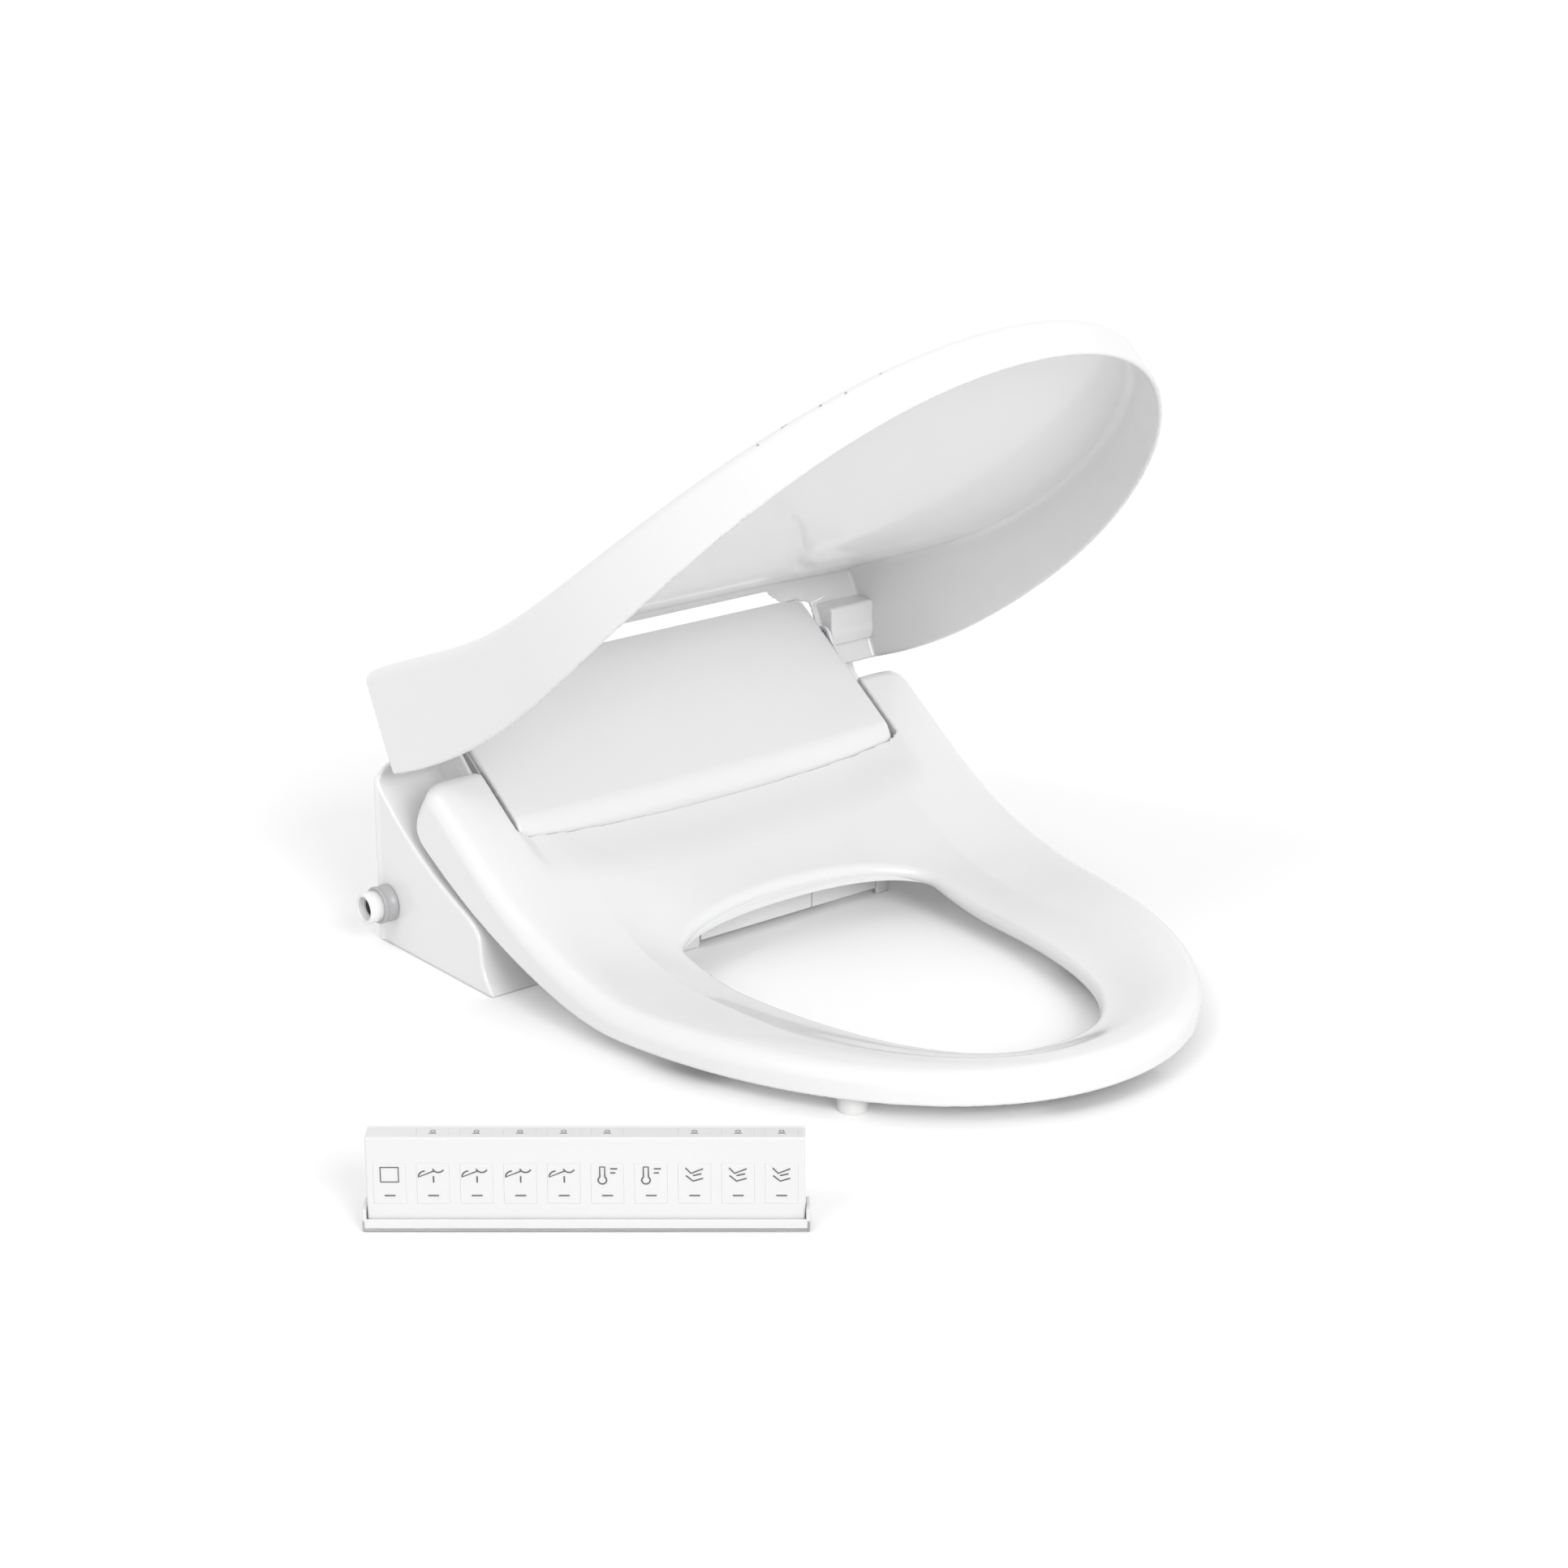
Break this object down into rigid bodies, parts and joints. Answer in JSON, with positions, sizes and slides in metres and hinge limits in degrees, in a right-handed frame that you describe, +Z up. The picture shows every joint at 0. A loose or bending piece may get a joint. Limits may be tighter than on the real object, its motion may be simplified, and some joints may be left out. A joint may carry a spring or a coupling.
{
  "type": "electric bidet seat",
  "caption": "Heated washing toilet seat with a slow-closing lid, a water and air unit behind it with two wash nozzles, and a keyed remote in a holder.",
  "frame": {"origin": "midway between the two fixing slots, on the plane where the unit rests on the bowl", "axes": "+Z up, +X to the right seen from the front, +Y to the rear, away from the seat's front tip"},
  "size_m": [0.622, 0.4918, 0.4339],
  "materials": {
    "white_gloss": "smooth glossy moulded shell",
    "white_satin": "satin moulded plastic",
    "grey_part": "moulded plastic, fine texture",
    "dark_part": "black moulded plastic",
    "steel": "brushed",
    "pad": "soft rubber pad",
    "board": "printed circuit board",
    "heater": "foil heater"
  },
  "bodies": {
    "housing": {"housing_shell": "white_gloss", "top_cover": "white_gloss", "base_tray": "white_satin", "mounting_plate": "grey_part", "water_inlet": "white_satin", "inlet_filter": "steel", "inlet_valve": "dark_part", "water_heater": "steel", "diverter_valve": "dark_part", "nozzle_holder": "white_satin", "nozzle_motors": "dark_part", "dryer_housing": "grey_part", "dryer_duct": "white_satin", "control_board": "board", "power_board": "board", "cord_gland": "dark_part", "hinge_dampers": "dark_part", "hinge_shafts": "steel", "case_screws": "steel", "remote_cradle": "white_gloss"},
    "seat": {"seat_shell": "white_gloss", "seat_base": "white_satin", "seat_heater": "heater", "seat_arms": "white_satin", "seat_bumpers": "pad"},
    "lid": {"lid_shell": "white_gloss", "lid_bosses": "white_gloss"},
    "rear_nozzle": {"rear_nozzle": "white_satin"},
    "front_nozzle": {"front_nozzle": "white_satin"},
    "nozzle_flap": {"nozzle_flap": "white_gloss"},
    "dryer_flap": {"dryer_flap": "white_gloss"},
    "release_button": {"release_button": "white_satin"},
    "deodoriser_tray": {"deodoriser_tray": "white_satin"},
    "dryer_impeller": {"dryer_impeller": "dark_part"},
    "remote": {"remote_case": "white_gloss", "remote_back": "white_satin", "remote_board": "board", "batteries": "dark_part"},
    "battery_door": {"battery_door": "white_satin"},
    "front_key_1": {"front_key_1": "white_gloss"},
    "front_key_2": {"front_key_2": "white_gloss"},
    "front_key_3": {"front_key_3": "white_gloss"},
    "front_key_4": {"front_key_4": "white_gloss"},
    "front_key_5": {"front_key_5": "white_gloss"},
    "front_key_6": {"front_key_6": "white_gloss"},
    "front_key_7": {"front_key_7": "white_gloss"},
    "front_key_8": {"front_key_8": "white_gloss"},
    "front_key_9": {"front_key_9": "white_gloss"},
    "front_key_10": {"front_key_10": "white_gloss"},
    "top_key_1": {"top_key_1": "white_gloss"},
    "top_key_2": {"top_key_2": "white_gloss"},
    "top_key_3": {"top_key_3": "white_gloss"},
    "top_key_4": {"top_key_4": "white_gloss"},
    "top_key_5": {"top_key_5": "white_gloss"},
    "top_key_6": {"top_key_6": "white_gloss"},
    "top_key_7": {"top_key_7": "white_gloss"},
    "top_key_8": {"top_key_8": "white_gloss"}
  },
  "joints": [
    {"name": "seat_hinge", "type": "hinge", "parent": "housing", "child": "seat", "pos_m": [0, 0.03, 0.1385], "axis": [-1, 0, 0], "range_deg": [0, 95]},
    {"name": "lid_hinge", "type": "hinge", "parent": "seat", "child": "lid", "pos_m": [0, 0.03, 0.1385], "axis": [1, 0, 0], "range_deg": [-61, 49]},
    {"name": "rear_nozzle_slide", "type": "slide", "parent": "housing", "child": "rear_nozzle", "axis": [0, -0.8192, -0.5736], "range_m": [0, 0.078]},
    {"name": "front_nozzle_slide", "type": "slide", "parent": "housing", "child": "front_nozzle", "axis": [0, -0.8192, -0.5736], "range_m": [0, 0.078]},
    {"name": "nozzle_flap_hinge", "type": "hinge", "parent": "housing", "child": "nozzle_flap", "pos_m": [0, -0.09, 0.0185], "axis": [-1, 0, 0], "range_deg": [0, 70]},
    {"name": "dryer_flap_hinge", "type": "hinge", "parent": "housing", "child": "dryer_flap", "pos_m": [0, -0.09, 0.0185], "axis": [-1, 0, 0], "range_deg": [0, 70]},
    {"name": "release_press", "type": "slide", "parent": "housing", "child": "release_button", "axis": [-1, 0, 0], "range_m": [0, 0.0025], "stiffness_N_per_m": 900},
    {"name": "deodoriser_slide", "type": "slide", "parent": "housing", "child": "deodoriser_tray", "axis": [1, 0, 0], "range_m": [0, 0.058]},
    {"name": "impeller_spin", "type": "hinge", "parent": "housing", "child": "dryer_impeller", "pos_m": [0, 0, 0.078], "axis": [1, 0, 0], "continuous": true},
    {"name": "remote_lift", "type": "slide", "parent": "housing", "child": "remote", "axis": [0, 0, 1], "range_m": [0, 0.06]},
    {"name": "battery_door_pull", "type": "slide", "parent": "remote", "child": "battery_door", "axis": [0.6293, 0.7771, 0], "range_m": [0, 0.02]},
    {"name": "front_key_1_press", "type": "slide", "parent": "remote", "child": "front_key_1", "axis": [0.6293, 0.7771, 0], "range_m": [0, 0.0008], "stiffness_N_per_m": 800},
    {"name": "front_key_2_press", "type": "slide", "parent": "remote", "child": "front_key_2", "axis": [0.6293, 0.7771, 0], "range_m": [0, 0.0008], "stiffness_N_per_m": 800},
    {"name": "front_key_3_press", "type": "slide", "parent": "remote", "child": "front_key_3", "axis": [0.6293, 0.7771, 0], "range_m": [0, 0.0008], "stiffness_N_per_m": 800},
    {"name": "front_key_4_press", "type": "slide", "parent": "remote", "child": "front_key_4", "axis": [0.6293, 0.7771, 0], "range_m": [0, 0.0008], "stiffness_N_per_m": 800},
    {"name": "front_key_5_press", "type": "slide", "parent": "remote", "child": "front_key_5", "axis": [0.6293, 0.7771, 0], "range_m": [0, 0.0008], "stiffness_N_per_m": 800},
    {"name": "front_key_6_press", "type": "slide", "parent": "remote", "child": "front_key_6", "axis": [0.6293, 0.7771, 0], "range_m": [0, 0.0008], "stiffness_N_per_m": 800},
    {"name": "front_key_7_press", "type": "slide", "parent": "remote", "child": "front_key_7", "axis": [0.6293, 0.7771, 0], "range_m": [0, 0.0008], "stiffness_N_per_m": 800},
    {"name": "front_key_8_press", "type": "slide", "parent": "remote", "child": "front_key_8", "axis": [0.6293, 0.7771, 0], "range_m": [0, 0.0008], "stiffness_N_per_m": 800},
    {"name": "front_key_9_press", "type": "slide", "parent": "remote", "child": "front_key_9", "axis": [0.6293, 0.7771, 0], "range_m": [0, 0.0008], "stiffness_N_per_m": 800},
    {"name": "front_key_10_press", "type": "slide", "parent": "remote", "child": "front_key_10", "axis": [0.6293, 0.7771, 0], "range_m": [0, 0.0008], "stiffness_N_per_m": 800},
    {"name": "top_key_1_press", "type": "slide", "parent": "remote", "child": "top_key_1", "axis": [0, 0, -1], "range_m": [0, 0.0008], "stiffness_N_per_m": 800},
    {"name": "top_key_2_press", "type": "slide", "parent": "remote", "child": "top_key_2", "axis": [0, 0, -1], "range_m": [0, 0.0008], "stiffness_N_per_m": 800},
    {"name": "top_key_3_press", "type": "slide", "parent": "remote", "child": "top_key_3", "axis": [0, 0, -1], "range_m": [0, 0.0008], "stiffness_N_per_m": 800},
    {"name": "top_key_4_press", "type": "slide", "parent": "remote", "child": "top_key_4", "axis": [0, 0, -1], "range_m": [0, 0.0008], "stiffness_N_per_m": 800},
    {"name": "top_key_5_press", "type": "slide", "parent": "remote", "child": "top_key_5", "axis": [0, 0, -1], "range_m": [0, 0.0008], "stiffness_N_per_m": 800},
    {"name": "top_key_6_press", "type": "slide", "parent": "remote", "child": "top_key_6", "axis": [0, 0, -1], "range_m": [0, 0.0008], "stiffness_N_per_m": 800},
    {"name": "top_key_7_press", "type": "slide", "parent": "remote", "child": "top_key_7", "axis": [0, 0, -1], "range_m": [0, 0.0008], "stiffness_N_per_m": 800},
    {"name": "top_key_8_press", "type": "slide", "parent": "remote", "child": "top_key_8", "axis": [0, 0, -1], "range_m": [0, 0.0008], "stiffness_N_per_m": 800}
  ]
}
